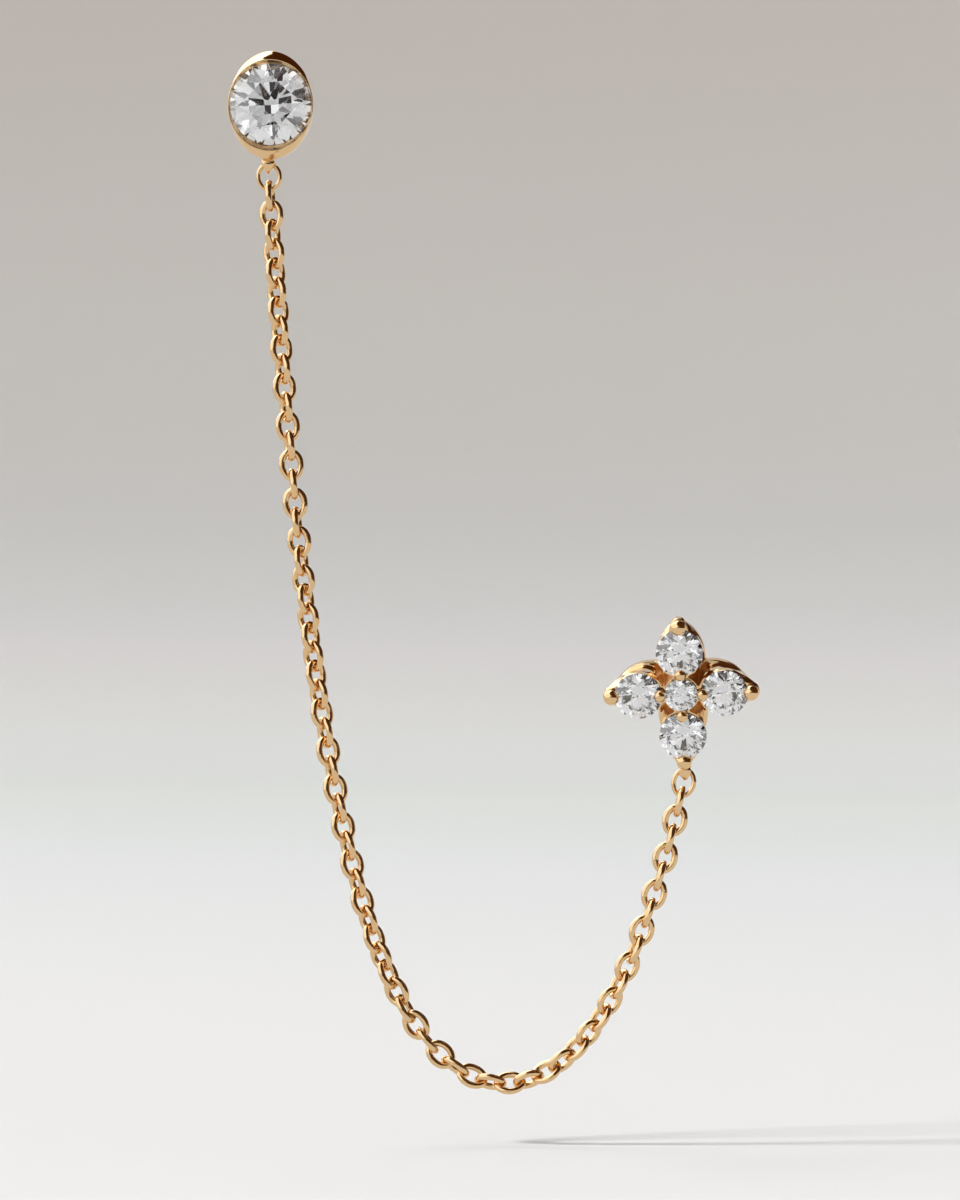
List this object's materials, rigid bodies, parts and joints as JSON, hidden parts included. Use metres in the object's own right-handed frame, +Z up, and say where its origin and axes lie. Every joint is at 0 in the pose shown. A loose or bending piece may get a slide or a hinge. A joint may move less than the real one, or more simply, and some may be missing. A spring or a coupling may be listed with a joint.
{
  "type": "ear chain earring",
  "caption": "Ear chain earring: a round stone in a bezel stud and a petal cluster stud, joined by a hanging cable chain. Gold, with plain posts.",
  "frame": {"origin": "on the skin, at the middle of the bezel stud's back, where its post enters the ear", "axes": "+X to the right as seen from the front, +Y back along the bezel stud's post, +Z up"},
  "size_m": [0.0271, 0.014, 0.052],
  "materials": {
    "gold": "polished 14 carat yellow to rose gold",
    "diamond": "cut and polished round brilliants"
  },
  "bodies": {
    "root": {"bezel_setting": "gold", "bezel_stone": "diamond", "upper_jump_ring": "gold", "chain": "gold", "lower_jump_ring": "gold", "cluster_setting": "gold", "petal_stone_top": "diamond", "petal_stone_right": "diamond", "petal_stone_bottom": "diamond", "petal_stone_left": "diamond", "centre_stone": "diamond"}
  },
  "joints": []
}
